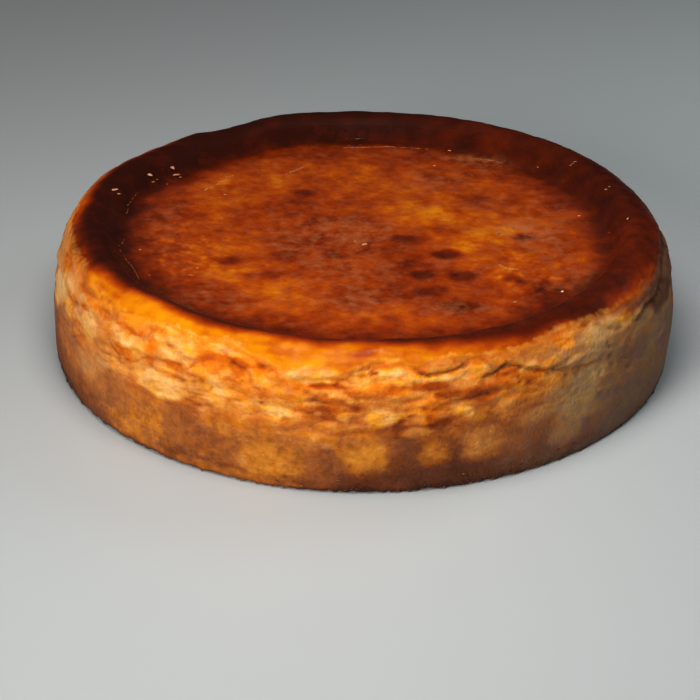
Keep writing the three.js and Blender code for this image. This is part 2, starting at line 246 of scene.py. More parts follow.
# How far the skin is baked on the band that curls over the shoulder, by bearing; the lighter dip at -9 is a
# painted highlight. Then the radius at which it turns dark, and how dark the rim inside that is.
BAND_BAKE = [
    (-180, 0.5), (-120, 0.34), (-100, 0.34), (-80, 0.73), (-70, 0.62), (-60, 0.27), (-45, 0.19),
    (-30, 0.28), (-20, 0.29), (-14, 0.25), (-9, 0.2), (-4, 0.33), (0, 0.34), (10, 0.31), (16, 0.32),
    (22, 0.4), (30, 0.33), (40, 0.32), (47, 0.58), (55, 0.48), (62, 0.46), (75, 0.68), (100, 0.6),
    (180, 0.5),
]
DARK_FROM = [
    (-180, 113), (-150, 113), (-125, 110.5), (-90, 109.5), (-70, 110), (-60, 109.6), (-45, 107.4),
    (-30, 107.4), (-10, 107.2), (4, 107.8), (20, 109.6), (30, 112.4), (40, 112.8), (50, 114), (60, 112.4),
    (80, 115), (180, 113),
]
RIM_BAKE = [
    (-180, 1), (-60, 0.98), (-45, 0.9), (-30, 0.9), (-10, 0.82), (10, 0.88), (30, 0.86), (45, 0.88),
    (60, 0.86), (75, 0.8), (88, 0.84), (100, 0.92), (112, 0.93), (130, 0.9), (145, 0.86), (162, 0.94),
    (180, 1),
]

# How rough the torn crumb is, and over how many millimetres the skin fades into it, by bearing.
ROUGHNESS = [
    (-180, 0.8), (-90, 0.5), (-70, 0.5), (-56, 0.75), (-40, 0.85), (-24, 0.8), (-12, 0.7), (10, 0.62),
    (40, 0.62), (56, 0.5), (75, 0.5), (95, 0.8), (180, 0.8),
]
EDGE_SOFTNESS = [
    (-180, 0.6), (-90, 1.2), (-75, 2.6), (-52, 3), (-43, 1.6), (-38, 0.6), (-28, 1.2), (-18, 1.4),
    (-12, 0.8), (28, 0.9), (40, 1.5), (52, 1.8), (75, 1.5), (100, 0.6), (180, 0.6),
]

# How far the sunken floor is baked, by radius.
FLOOR_BAKE = [(0, 0.485), (66, 0.485), (80, 0.555), (89, 0.68), (95, 0.86)]

# The floor's darker places (above 0) and brighter ones (below 0): x, y, half-sizes in x and y, amount.
FLOOR_PLACES = [
    (70, -46, 6, 5, 0.14), (60, 52, 7, 6, 0.14), (-56, 38, 4, 5, 0.1), (-72, 20, 6, 6, 0.1),
    (-60, -35, 5, 4, 0.08), (-30, -9, 5, 4, 0.12), (50, -48, 5, 4, 0.08), (48, -12, 4, 3, 0.1),
    (35, -62, 7, 3.4, 0.25), (17, -52, 4.5, 3.4, 0.12), (3, -60, 8, 5, 0.14), (-33, -36, 5, 3.4, 0.2),
    (-50, -26, 5, 3.4, 0.22), (-43, -37, 3.2, 2, 0.12), (-28, -20, 4, 4.4, 0.14), (16, -22, 8, 14, 0.1),
    (-8, -18, 7, 4, 0.14), (-20, 6, 13, 11, 0.1), (-25, 35, 5, 7, 0.14), (0, -48, 9, 6, 0.1),
    (-46, 22, 8, 7, 0.08), (47, 30, 11, 5, 0.13), (33, 54, 9, 4, 0.1), (-57, 3, 4.5, 2.6, 0.12),
    (33, 5, 7, 4.4, 0.12), (-75, 0, 5, 9, 0.1), (-20, 62, 15, 10, 0.04), (-66, 66, 14, 9, 0.08),
    (24, 80, 22, 7, 0.1), (52, 50, 8, 7, -0.1), (0, 70, 8, 6, 0.04), (-46, 72, 14, 7, -0.12),
    (80, -22, 9, 12, -0.14), (76, 8, 7, 9, -0.08), (98, -24, 6, 10, -0.2), (-2, 16, 12, 5, 0.05),
    (-62, 45, 2.2, 2.4, -0.16), (-58.4, 50.4, 2.2, 2.4, -0.2), (-55, 55, 2, 2, -0.16), (60, 8, 6, 5, -0.14),
    (28, 20, 15, 11, -0.18), (47, -2, 8, 11, -0.18), (40, -14, 6, 6, -0.16), (-52, -36, 10, 7, -0.2),
    (-30, -48, 12, 5, -0.1), (-56, 38, 8, 14, -0.14), (-34, 46, 6, 9, -0.14), (0, 60, 6, 12, -0.1),
    (-62, -6, 13, 16, -0.08), (-8, -70, 13, 7, -0.12), (58, -38, 7, 12, -0.12), (22, -72, 15, 7, -0.1),
    (-40, 14, 14, 12, -0.08), (12, -28, 26, 15, 0.08), (-12, 6, 20, 13, 0.05), (-48, 13, 12, 8, 0.07),
    (58, -52, 12, 9, 0.06), (4, -76, 26, 8, 0.05), (-30, -86, 8, 5, 0.12), (-60, -50, 12, 10, 0.06),
    (-30, -57, 11, 6, -0.13), (20, 79, 13, 8, -0.1), (-28, 56, 8, 6, -0.07), (55, 43, 9, 7, -0.05),
    (72, -4, 12, 12, 0.05), (-40, 42, 9, 7, 0.05), (-18, 28, 9, 7, 0.06), (-96, 0, 8, 14, 0.06),
]

# The floor's darkest spots, with clearer edges: x, y, half-sizes in x and y, amount.
FLOOR_SPOTS = [
    (33.6, -17.6, 6.6, 4.6, 0.34), (38.8, -35, 6.4, 4.4, 0.3), (23.4, -34.4, 5.4, 3.6, 0.2),
    (27, -48.4, 7, 5, 0.24), (18, -5, 6.4, 4.6, 0.18), (37, -60.4, 8, 3.8, 0.16), (57.6, -38, 4, 3.8, 0.22),
    (63.6, 0, 4.6, 3.8, 0.34), (-30, -18, 6, 3, 0.14), (-50, -25, 5.6, 3.6, 0.12), (48, 36, 8, 3.4, 0.12),
    (-24, 38, 5.4, 5, 0.12), (-72, -24, 4, 3, 0.12),
]

# Where the floor's skin is mixed towards a dull pinkish bloom, partly dried skin and partly a painted sheen;
# the last two, along the back foot, are painted highlights: x, y, half-sizes in x and y, amount.
FLOOR_BLOOM_AND_SHEEN = [
    (-16, 6, 14, 11, 0.7), (2, 2, 9, 7, 0.7), (-8, -32, 12, 8, 0.6), (59, 7, 7, 5, 1.15),
    (69, -3, 6, 9, 0.9), (80, -34, 10, 10, 0.7), (30, 53, 12, 8, 0.6), (-78, 6, 6, 14, 0.5),
    (33, -25, 7, 2.6, 0.4), (-28, -12, 8, 6, 0.5), (30, -63, 12, 5, 0.5), (-1, -58, 9, 8, 0.7),
    (56, 72, 8, 6, 0.8), (-55, -58, 16, 8, 0.4), (52, 30, 6, 5, 0.4), (45, -62, 8, 5, 0.4),
    (72, 14, 12, 16, 0.4), (48, 77, 11, 2.6, 0.8), (20, 84, 8, 2, 0.5),
]

# Specks of dried skin on the top, and pale slivers painted as glints: those from x -101 to -76 on the rim's
# back-left and the one at (36.3, 84.3) on the back foot. x, y, length, width, direction in degrees, how
# pale.
SPECKS_AND_GLINTS = [
    (103.5, 0.2, 1.5, 1.1, 70, 0.7), (74.6, -47.7, 1.3, 1.1, 40, 1), (86.4, 20.1, 1.6, 0.9, 10, 0.6),
    (99, 29.8, 1.2, 0.8, 0, 0.6), (97.4, 28.4, 1.5, 0.7, 30, 0.5), (72.5, 63.3, 1.2, 0.9, 90, 0.5),
    (36.3, 84.3, 1.8, 0.8, -15, 0.6), (29.5, 69, 1.3, 1, 0, 0.6), (-56.6, 36.8, 1.5, 1.2, 0, 0.4),
    (-100.8, 24.4, 4.2, 1.8, 15, 0.6), (-98.6, 23.4, 2, 1, -10, 0.4), (-88.3, 46.6, 5.2, 1.7, -50, 0.6),
    (-86.8, 45, 2.2, 1, 20, 0.35), (-79.8, 58, 5, 1.5, -62, 0.6), (-78.2, 55.8, 3.6, 1.6, 5, 0.55),
    (-76.2, 55.4, 1.6, 0.9, 0, 0.35), (0.2, -8.9, 2.8, 1.6, 25, 0.5), (-3.4, -6.4, 2, 1.2, 60, 0.35),
    (-86.9, -15.3, 1.2, 0.9, 0, 0.4), (-63.6, -31.3, 1.4, 1, 0, 0.4), (-65.5, -37.8, 3, 0.6, -18, 0.35),
    (56.2, -57.2, 1.8, 0.6, 30, 0.5),
]

# Scratches and thin ridges on the top; the second and third are broken pale lines painted as glints along
# the back foot. The points each runs through, its width, how pale.
SCRATCHES_AND_GLINTS = [
    ([(-64.5, 41.5), (-54, 56.2)], 0.8, 0.35), ([(48, 76.5), (53, 74.5), (58.5, 71.5)], 0.6, 0.3),
    ([(-8, 87.5), (10, 88.8), (28, 86.4)], 0.5, 0.35), ([(-32.2, 58.4), (-24.9, 65.8)], 0.7, 0.4),
    ([(52.4, -26.5), (54.6, -28.8), (58.8, -29.3)], 1.3, 0.42), ([(85, 53), (88.5, 55)], 0.6, 0.45),
    ([(-93.8, -6), (-95.1, -15.3), (-91.5, -25), (-87.1, -35), (-85, -43)], 0.35, 0.15),
    ([(-92, 34), (-94.6, 22), (-95.2, 8)], 0.35, 0.12), ([(55.9, -57.3), (60, -53)], 0.7, 0.15),
]

TORN_FROM = 23.0  # the height from which the rings are close enough for tears
USUAL_SKIN_EDGE = 49.0
MID_HEIGHT = 30.0  # off the side, what is higher is the top and what is lower is the underside
COLUMNS = 960  # points round the side; the flat parts halve this as they near the middle
UNDERSIDE_RINGS = [(8, 30), (20, 60), (40, 120), (65, 240), (95, 480), (112, 960)]  # radius, points
BOTTOM_BAND = 2.4  # how far up the ragged bottom edge's rings go
RING_COUNTS = [3, 16, 47, 13]  # up the bottom edge, the low side, the torn side and the rim's inside
FLOOR_STEP = 1.35  # between the floor's rings
MIDDLE_STEP = 1.8  # between its rings inside MIDDLE_RADIUS
MIDDLE_RADIUS = 55
CLOSEST_POINTS = 0.62  # a ring whose points would be closer has half as many


# ---------------------------------------- numbers
def bell(distance, spread):
    """1 at the middle of a feature, falling smoothly to 0 well outside it."""
    return np.exp(-0.5 * (distance / spread) ** 2)


def smooth(low, high, value):
    """0 at low, 1 at high and a smooth rise between; low may be the larger."""
    share = np.clip((value - low) / (high - low), 0, 1)
    return share * share * (3 - 2 * share)


def fading(distance, length):
    """1 up to a distance of 0, then fading away over about a length."""
    return np.exp(-np.maximum(distance, 0) / length)


def turn_between(a, b):
    """The shorter way round from bearing b to bearing a."""
    return (a - b + 540) % 360 - 180


def look_up(table, at):
    """What a table of (position, value) pairs gives at a position, or at each of many."""
    return np.interp(at, *zip(*table))


class Noise:
    """Smooth random values at points in space, about -1 to 1, the same each run."""

    def __init__(self, seed):
        rng = np.random.default_rng(seed)
        self.order = np.tile(rng.permutation(256), 2)
        directions = rng.normal(size=(256, 3))
        self.directions = directions / np.linalg.norm(directions, axis=1, keepdims=True)

    def one(self, points):
        cell = np.floor(points).astype(int)
        inside = points - cell
        fade = inside**3 * (inside * (inside * 6 - 15) + 10)
        total = np.zeros(len(points))
        for corner in itertools.product((0, 1), repeat=3):
            corner = np.array(corner)
            x, y, z = ((cell + corner) & 255).T
            key = self.order[self.order[self.order[x] + y] + z]
            slope = ((inside - corner) * self.directions[key]).sum(1)
            total += slope * np.where(corner, fade, 1 - fade).prod(1)
        return total * 1.6

    def at(self, points, size, octaves=1, stretch=(1, 1, 1)):
        """Noise with lumps about size across and finer ones on top; stretch lengthens them along x, y, z."""
        places = points / (np.array(stretch) * size)
        total = np.zeros(len(points))
        for k in range(octaves):
            total += self.one(places * 2**k + 17.3 * k) * 0.5**k
        return total


# ---------------------------------------- smooth surface
class Outline:
    """The smooth outline by the distance along it, from the middle of the underside to that of the floor."""

    def __init__(self):
        underside_radii = np.linspace(0, BASE_RADIUS - BASE_EDGE, 80)
        underside = np.stack([underside_radii, np.zeros_like(underside_radii)], 1)

        heights = np.linspace(BASE_EDGE, SHOULDER_HEIGHT, 300)
        known_heights = [BASE_EDGE, SIDE_HEIGHT, SHOULDER_HEIGHT]
        bend = np.polyfit(known_heights, [BASE_RADIUS, SIDE_RADIUS, SHOULDER_RADIUS], 2)
        side = np.stack([np.polyval(bend, heights), heights], 1)

        turn = np.linspace(0, math.pi / 2, 400)[1:]
        shoulder_radii = CREST_RADIUS + (SHOULDER_RADIUS - CREST_RADIUS) * np.cos(turn)
        shoulder_heights = SHOULDER_HEIGHT + (CREST_HEIGHT - SHOULDER_HEIGHT) * np.sin(turn)
        shoulder = np.stack([shoulder_radii, shoulder_heights], 1)

        width = CREST_RADIUS - FOOT_RADIUS
        corners = np.array(
            [
                [CREST_RADIUS, CREST_HEIGHT],
                [CREST_RADIUS - CREST_ROUNDNESS * width, CREST_HEIGHT],
                [FOOT_RADIUS + FOOT_ROUNDNESS * width, FLOOR_HEIGHT],
                [FOOT_RADIUS, FLOOR_HEIGHT],
            ]
        )
        t = np.linspace(0, 1, 300)[1:, None]
        slope = np.hstack([(1 - t) ** 3, 3 * t * (1 - t) ** 2, 3 * t**2 * (1 - t), t**3]) @ corners

        floor_radii = np.linspace(FOOT_RADIUS, 0, 900)[1:]
        floor = np.stack([floor_radii, np.full_like(floor_radii, FLOOR_HEIGHT)], 1)

        self.points = np.vstack([underside, side, shoulder, slope, floor])
        steps = np.linalg.norm(np.diff(self.points, axis=0), axis=1)
        self.along = np.concatenate([[0], np.cumsum(steps)])
        tangent = np.gradient(self.points, self.along, axis=0)
        self.outward = np.stack([tangent[:, 1], -tangent[:, 0]], 1)
        self.bottom = self.along[len(underside)]
        top_of_rise = self.points[:, 1].argmax()
        self.rise = slice(len(underside) - 1, top_of_rise + 1)
        self.crest = self.along[top_of_rise]
        self.end = self.along[-1]
        self.foot = self.end - FOOT_RADIUS

    def read(self, table, along):
        return np.stack([np.interp(along, self.along, column) for column in table.T], 1)

    def at_height(self, height):
        """How far along the outline the side reaches a height."""
        return np.interp(height, self.points[self.rise, 1], self.along[self.rise])


def rings(line):
    """How far along the outline each ring lies and its number of points: closest where the side is torn."""
    stops = [line.bottom, line.bottom + BOTTOM_BAND, line.at_height(TORN_FROM), line.crest, line.foot]
    found = list(UNDERSIDE_RINGS)
    for (start, end), count in zip(itertools.pairwise(stops), RING_COUNTS):
        found += [(along, COLUMNS) for along in np.linspace(start, end, count, endpoint=False)]
    radius, columns = FOOT_RADIUS, COLUMNS // 2
    while radius > 3:
        found.append((line.end - radius, columns))
        radius -= FLOOR_STEP if radius > MIDDLE_RADIUS else MIDDLE_STEP
        if radius * 2 * math.pi / columns < CLOSEST_POINTS:
            columns = max(columns // 2, 15)
    return found


def ragged_circle(bearing, size, seed):
    """Uneven values round the cake, joining up at the back, in waves about size millimetres long."""
    turn = np.radians(bearing)
    places = np.stack([np.sin(turn), -np.cos(turn), np.zeros_like(turn)], 1) * SIDE_RADIUS
    return Noise(seed).at(places, size, octaves=3)


def skin_edge(bearing):
    """The height at which the skin of the top ends on the side, and how far it stands out there."""
    bearings, heights, lips = np.array(SKIN_EDGE, float).T
    height = np.interp(bearing, bearings, heights) + 0.7 * ragged_circle(bearing, 9, seed=3)
    lip = np.interp(bearing, bearings, lips) * (1 + 0.5 * ragged_circle(bearing, 14, seed=4))
    return height, lip


class Surface:
    """The smooth body's points, ring by ring from the middle of the underside to the middle of the floor."""

    def __init__(self):
        line = Outline()
        self.line = line
        found = [(0, 1)] + rings(line) + [(line.end, 1)]
        self.counts = [columns for _, columns in found]
        self.starts = np.cumsum([0] + self.counts)
        along = np.concatenate([np.full(columns, float(at)) for at, columns in found])
        bearing = np.concatenate([np.arange(columns) * 360 / columns for _, columns in found])
        self.bearing = turn_between(bearing, 0)

        # One ring follows the skin's edge, so that its step stays crisp; its neighbours share the shift.
        self.edge, self.lip = skin_edge(self.bearing)
        torn_from, usual = line.at_height(TORN_FROM), line.at_height(USUAL_SKIN_EDGE)
        shift = line.at_height(self.edge) - usual
        share = np.interp(along, [torn_from, usual, line.crest], [0, 1, 0])
        self.along = along + shift * share

        self.radius, self.height = line.read(line.points, self.along).T
        out_across, out_up = line.read(line.outward, self.along).T
        turn = np.radians(self.bearing)
        self.sideways = np.stack([np.sin(turn), -np.cos(turn)], 1)
        self.out = np.column_stack([self.sideways * out_across[:, None], out_up])
        self.out /= np.linalg.norm(self.out, axis=1, keepdims=True)
        self.points = np.column_stack([self.sideways * self.radius[:, None], self.height])
        self.x, self.y = self.points[:, 0], self.points[:, 1]
        self.above_edge = self.height - self.edge
        self.on_side = self.along < line.crest
        self.on_top = self.height > MID_HEIGHT
        self.on_wall = smooth(0.3, -0.3, self.above_edge) * self.on_side
        self.on_skin = (1 - self.on_wall) * self.on_top
        self.on_floor = smooth(FOOT_RADIUS + 4, FOOT_RADIUS - 3, self.radius) * self.on_top
        self.ragged = self.noise(5, 3.6, octaves=2, stretch=(2.4, 2.4, 1))

    def noise(self, seed, size, octaves=1, stretch=(1, 1, 1)):
        """Noise at the smooth body's points."""
        return Noise(seed).at(self.points, size, octaves, stretch)

    def faces(self):
        """Quads between rings of as many points; triangles where one has half as many or is a middle."""
        quads, triangles = [], []
        for k in range(len(self.counts) - 1):
            low, high = self.starts[k], self.starts[k + 1]
            below, above = self.counts[k], self.counts[k + 1]
            if below == above:
                j = np.arange(below)
                after = (j + 1) % below
                quads.append(np.stack([low + j, low + after, high + after, high + j], 1))
                continue
            more = max(below, above)
            many, few = (low, high) if below > above else (high, low)
            if min(below, above) == 1:
                j = np.arange(more)
                found = [[many + j, many + (j + 1) % more, np.full(more, few)]]
            else:
                j = np.arange(more // 2)
                after = few + (j + 1) % len(j)
                a, b, c = many + 2 * j, many + 2 * j + 1, many + (2 * j + 2) % more
                found = [[a, b, few + j], [b, after, few + j], [b, c, after]]
            turn_over = 1 if below > above else -1
            triangles += [np.stack(corners[::turn_over], 1) for corners in found]
        return np.concatenate(quads), np.concatenate(triangles)


# ---------------------------------------- real surface
def broad_form(s):
    """The slow waves of the whole body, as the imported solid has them: the push outwards and the rise."""
    outer = smooth(0, SIDE_RADIUS, s.radius)
    on_rim = bell(s.radius - CREST_RADIUS, CREST_RADIUS - FOOT_RADIUS)
    push = sum(amount * patch_of_side(s, place) for *place, amount in SIDE_WAVES)
    rise = np.zeros_like(s.radius)
    for bearing, spread, amount in RIM_WAVES:
        rise += amount * bell(turn_between(s.bearing, bearing), spread) * on_rim * s.height / CREST_HEIGHT
    sunken = (s.height > FLOOR_HEIGHT / 2) & (s.radius < FOOT_RADIUS)
    rise += sunken * 0.5 * np.sin(s.x / 19 + 0.6) * np.sin(s.y / 23 + 1.1) * (1 - outer)
    return push * outer, rise


def along_fold(s, points):
    """How far above a fold's line each point lies, and how much of the fold there is at its bearing."""
    bearings, heights = np.array(points, float).T
    middle = (bearings[0] + bearings[-1]) / 2
    turn = turn_between(s.bearing, middle) + middle
    line = np.interp(turn, bearings, heights) + 0.45 * s.ragged
    fade = min(1.8, (bearings[-1] - bearings[0]) / 2.5)
    started = smooth(bearings[0] - 0.3, bearings[0] + fade, turn)
    not_ended = smooth(bearings[-1] + 0.3, bearings[-1] - fade, turn)
    return s.height - line, started * not_ended * s.on_side


def unseen_tears():
    """More torn folds of the same kind for the sides and back."""
    rng = np.random.default_rng(11)
    found = []
    for start in (84, 97, 112, 124, 139, 153, 168, 181, 196, 207, 222, 235, 249, 262):
        length, height = rng.uniform(8, 19), rng.uniform(36, 47.5)
        bearings = np.linspace(start, start + length, 5)
        heights = height + np.cumsum(rng.normal(0, 1.1, 5))
        found.append((list(zip(bearings, heights)), rng.uniform(0.9, 1.9), rng.uniform(0.4, 0.9)))
    return found


def tears(s):
    """The torn folds: the push outwards, how far the lips droop, and how deep in a crack each point is."""
    push, droop, crack = np.zeros((3, len(s.height)))
    for points, depth, overhang in TEARS + unseen_tears():
        above, there = along_fold(s, points)
        push += overhang * there * smooth(-0.3, 0.7, above) * fading(above, 3.2)
        push -= depth * there * smooth(0.5, -0.3, above) * fading(-above, 1.5)
        droop += 0.7 * overhang * there * smooth(-0.3, 0.5, above) * fading(above, 1.3)
        crack = np.maximum(crack, smooth(0.3, 1.7, depth) * there * bell(above + 0.5, 0.38 + 0.14 * depth))
    return push, droop, crack


def skin_lip(s):
    """The rolled edge of the skin, and the slight hollow under it."""
    push = s.lip * smooth(-0.5, 0.1, s.above_edge) * fading(s.above_edge, 2.6)
    push -= 0.5 * s.lip * smooth(0, -0.6, s.above_edge) * fading(-s.above_edge, 1.6)
    return push * s.on_side


def off_middle(s, bearing, height, half_width, half_height):
    """How far each point is from the middle of a patch of the side; the patch's edge is at 1."""
    return np.hypot(turn_between(s.bearing, bearing) / half_width, (s.height - height) / half_height)


def patch(s, torn, place):
    """How far each point is in a patch of the side: crisp and ragged where it is torn, soft lower down."""
    far = off_middle(s, *place)
    crisp = smooth(1.5, 0.8, far + 0.4 * s.ragged)
    soft = smooth(2.0, 0.1, far + 0.3 * s.ragged)
    return (soft + (crisp - soft) * (0.35 + 0.65 * torn)) * s.on_side


def patch_of_side(s, place):
    """1 in the middle of a patch of the side, given by its middle and half-sizes, softly 0 outside it."""
    bearing, height, half_width, half_height = place
    return bell(turn_between(s.bearing, bearing), half_width) * bell(s.height - height, half_height)


def patch_of_floor(s, place):
    """1 in the middle of a patch of the floor, given by its middle and half-sizes, softly 0 outside it."""
    x, y, half_x, half_y = place
    return np.exp(-0.5 * (((s.x - x) / half_x) ** 2 + ((s.y - y) / half_y) ** 2))


def spot_in_disc(rng, radius, least=0):
    """A random place, x and y, in a disc round the middle; least is the inner share of it left out."""
    turn, reach = rng.uniform(0, 2 * math.pi), radius * math.sqrt(rng.uniform(least, 1))
    return reach * math.cos(turn), reach * math.sin(turn)


def rimward(s):
    """Fine waves that run round the cake, as the skin wrinkles where it climbs the rim."""
    return Noise(25).at(np.column_stack([s.sideways * 100, s.radius * 2.6]), 7, octaves=3)


def unseen_lumps():
    """More lumps of the same kind for the sides and back, in the form of LUMPS."""
    rng = np.random.default_rng(12)
    lowest, highest = [38, 2.5, 1.0, 0.3, 0.4], [48, 6.5, 2.8, 0.9, 0.9]
    return [(bearing, *rng.uniform(lowest, highest)) for bearing in range(86, 276, 7)]


def lumps(s):
    """The flakes and lumps of torn crumb: the push outwards, how pale they are, and where they lie."""
    push, pale, cover = np.zeros((3, len(s.height)))
    for *place, stand, paleness in LUMPS + unseen_lumps():
        far = off_middle(s, *place) + 0.45 * s.ragged
        covered = smooth(1.2, 0.7, far) * s.on_side
        push = np.maximum(push, stand * covered)
        pale = np.maximum(pale, paleness * smooth(1.3, 0.6, far) * s.on_side)
        cover = np.maximum(cover, covered)
    return push, pale, cover


def pits(s):
    """Small holes where bubbles opened, in the torn part of the side."""
    rng = np.random.default_rng(13)
    depth = np.zeros_like(s.height)
    for bearing in rng.uniform(-180, 180, 260):
        height, size = rng.uniform(25, 47), rng.uniform(0.6, 1.3)
        across = turn_between(s.bearing, bearing) * math.radians(1) * SIDE_RADIUS
        near = np.hypot(across / 1.5, s.height - height)
        depth = np.maximum(depth, rng.uniform(0.3, 0.9) * smooth(1.4 * size, 0.2 * size, near))
    return depth * s.on_side


def torn_crumb(s):
    """Rounded lumps with creases between: the push outwards, how high a point is, how deep in a crease."""
    drift = np.column_stack([s.noise(seed, 14) for seed in (41, 42, 43)])
    places = s.points + 2.0 * drift
    coarse = np.abs(Noise(22).at(places, 4.2, stretch=(3.6, 3.6, 1)))
    fine = np.abs(Noise(23).at(places, 2.2, stretch=(2.2, 2.2, 1)))
    usual = look_up(ROUGHNESS, s.bearing)
    strength = np.clip(usual * (1 + 1.1 * s.noise(28, 20)), 0.1, 1.4)
    crease = smooth(0.12, 0.0, coarse) * np.clip(1.6 * strength - 0.5, 0, 1)
    return strength * (1.2 * np.minimum(coarse, 0.7) + 0.32 * fine - 0.45), coarse - 0.35, crease


def side_relief(s, torn, dimpled, lumpy, crumb_push, lump_cover):
    """How far the crumb pushes the side out: calm under the skin's edge at the right, and on the lumps."""
    calm = 1 - 0.6 * bell(s.above_edge + 1, 2.5) * smooth(-30, 0, s.bearing) * smooth(95, 80, s.bearing)
    calm *= 1 - 0.7 * lump_cover
    smooth_wall = s.on_wall * (1 - torn)
    return (torn + 0.8 * dimpled) * crumb_push * calm + 0.16 * smooth_wall * lumpy


def skin_relief(s, lumpy):
    """How far the skin's waves and wrinkles push it out."""
    waves = s.noise(27, 4.5, octaves=2, stretch=(3.5, 3.5, 1))
    out = 0.4 * smooth(CREST_RADIUS, CREST_RADIUS + 6, s.radius) * waves
    out += 0.1 * lumpy + 0.16 * bell(s.radius - FOOT_RADIUS - 1, 5) * rimward(s)
    left, right = patch_of_side(s, (-8, 52, 5.5, 1.2)), patch_of_side(s, (7, 52.6, 2, 0.8))
    creased = np.maximum(left, 0.8 * right)
    creases = s.noise(35, 1.7, octaves=2, stretch=(3, 3, 1))
    out += (0.14 + 0.3 * creased) * s.on_side * creases
    return s.on_skin * out + s.on_floor * 0.12 * s.noise(26, 5, octaves=3)


def cheesecake_shape(s):
    """Where each point really lies, and the masks for the material."""
    torn = smooth(18, 28, s.height) * s.on_wall
    softness = look_up(EDGE_SOFTNESS, s.bearing)
    dimpled = smooth(6, 0, s.above_edge) * s.on_skin * s.on_side * smooth(0.8, 2.2, softness)
    lumpy = s.noise(24, 11, octaves=2)

    sideways, rise = broad_form(s)
    tear_push, droop, crack = tears(s)
    lump_push, lump_pale, lump_cover = lumps(s)
    hole = pits(s) * torn
    crumb_push, lumpiness, crease = torn_crumb(s)

    out = tear_push + skin_lip(s) + lump_push - hole
    out += 0.35 * s.noise(21, 20, octaves=2) * (s.height > 4)
    out += side_relief(s, torn, dimpled, lumpy, crumb_push, lump_cover) + skin_relief(s, lumpy)

    # The bottom edge is ragged.
    low = smooth(3.0, 0.2, s.height) * smooth(SIDE_RADIUS - 6, SIDE_RADIUS - 2, s.radius)
    out += low * (0.6 * ragged_circle(s.bearing, 4, seed=6) - 0.3)
    rise += low * 0.9 * np.clip(ragged_circle(s.bearing, 3, seed=7), 0, 1)

    moved = s.points + s.out * out[:, None]
    moved[:, :2] += s.sideways * sideways[:, None]
    moved[:, 2] = np.maximum(moved[:, 2] + rise - droop, 0)

    bake, glaze, side_dull_and_shade = side_baking(s, torn, lump_pale, lumpiness, lumpy)
    # Painted shade: darker in the crumb's creases, in the torn folds' cracks and in the pits.
    bake += (torn + 0.5 * dimpled) * 0.1 * crease + 0.34 * crack + 0.12 * hole
    skin_bake, mottled = skin_baking(s)
    crumbly = s.on_wall * smooth(9, 4, s.height) * smooth(-12, 2, s.bearing) * smooth(60, 40, s.bearing)
    masks = {
        "above_edge": np.where(s.on_side, np.clip(s.above_edge, -8, 8), np.where(s.on_top, 8, -8)),
        "edge_softness": softness,
        "side_bake": np.clip(bake, 0, 1),
        "glaze": np.clip(glaze, 0, 1),
        # The skin is darker in its dimples' creases too: painted shade.
        "skin_bake": np.clip(skin_bake + 0.25 * dimpled * crease, 0, 1),
        "mottled": mottled,
        # Dullness: a pinkish bloom; past 1 on the side it greys the crumb as painted shade, and on the floor
        # it is partly painted sheen.
        "dull": np.clip(s.on_wall * side_dull_and_shade + s.on_floor * floor_bloom_and_sheen(s), 0, 2),
        "torn": np.maximum(torn, crumbly),
        "satin": s.on_skin * smooth(98, 103, s.radius) * smooth(40, 70, np.abs(s.bearing)),
    }
    return moved, masks


def unseen_places():
    """Places like those in SIDE_PLACES, scattered over the sides and back."""
    rng = np.random.default_rng(51)
    found = []
    for _ in range(150):
        height = rng.uniform(2, 48)
        usual = look_up(SIDE_BAKE, height)
        look = rng.uniform([-0.2 + usual, -0.4, 0], [0.2 + usual, 1, 0.9])
        found.append((rng.uniform(100, 262), height, rng.uniform(1.5, 5.5), rng.uniform(1, 5), *look))
    return found


def side_baking(s, torn, lump_pale, lumpiness, lumpy):
    """How far the side is baked, how much orange glaze it has and how dull it is; dullness past 1 is painted
    shade.
    """
    bake = look_up(SIDE_BAKE, s.height) - 0.13 * lump_pale
    bake += look_up(SIDE_BAKE_ROUND, s.bearing) * smooth(36, 26, s.height)
    under_edge = np.clip(-s.above_edge, 0, 20)
    glaze = look_up(SIDE_GLAZE, s.bearing) + 0.7 * np.exp(-under_edge / 2.0) - 0.8 * lump_pale
    dull = look_up(SIDE_DULLNESS_AND_SHADE, s.bearing)
    for *place, baked, glazed, dulled in SIDE_PLACES + unseen_places():
        share = 0.9 * patch(s, torn, place)
        bake += share * (baked - bake)
        glaze += share * (glazed - glaze)
        dull += share * (dulled - dull)
    for *place, amount in SIDE_TONES_AND_PAINTED_SHADE:
        bake += amount * patch_of_side(s, place)
    bake += 0.05 * lumpy + 0.05 * s.noise(29, 3.2, octaves=2, stretch=(2, 2, 1)) * torn
    # Painted light and shade: the raised crumb paler, the hollows between darker.
    bake -= 0.09 * torn * lumpiness
    return bake, glaze + 0.2 * s.noise(30, 9, octaves=2), dull


def band_baking(s):
    """How far the skin is baked outside the sunken floor: light near its edge and dark on the rim."""
    light, dark, dark_from = (look_up(table, s.bearing) for table in (BAND_BAKE, RIM_BAKE, DARK_FROM))
    streaks = s.noise(36, 1.6, octaves=2, stretch=(6, 6, 1))
    light = light + 0.1 * streaks - 0.1 * fading(s.above_edge, 1.2)
    across = s.radius + 1.6 * s.noise(31, 16, octaves=2)
    return light + (dark - light) * smooth(dark_from + 3.6, dark_from - 3.4, across)


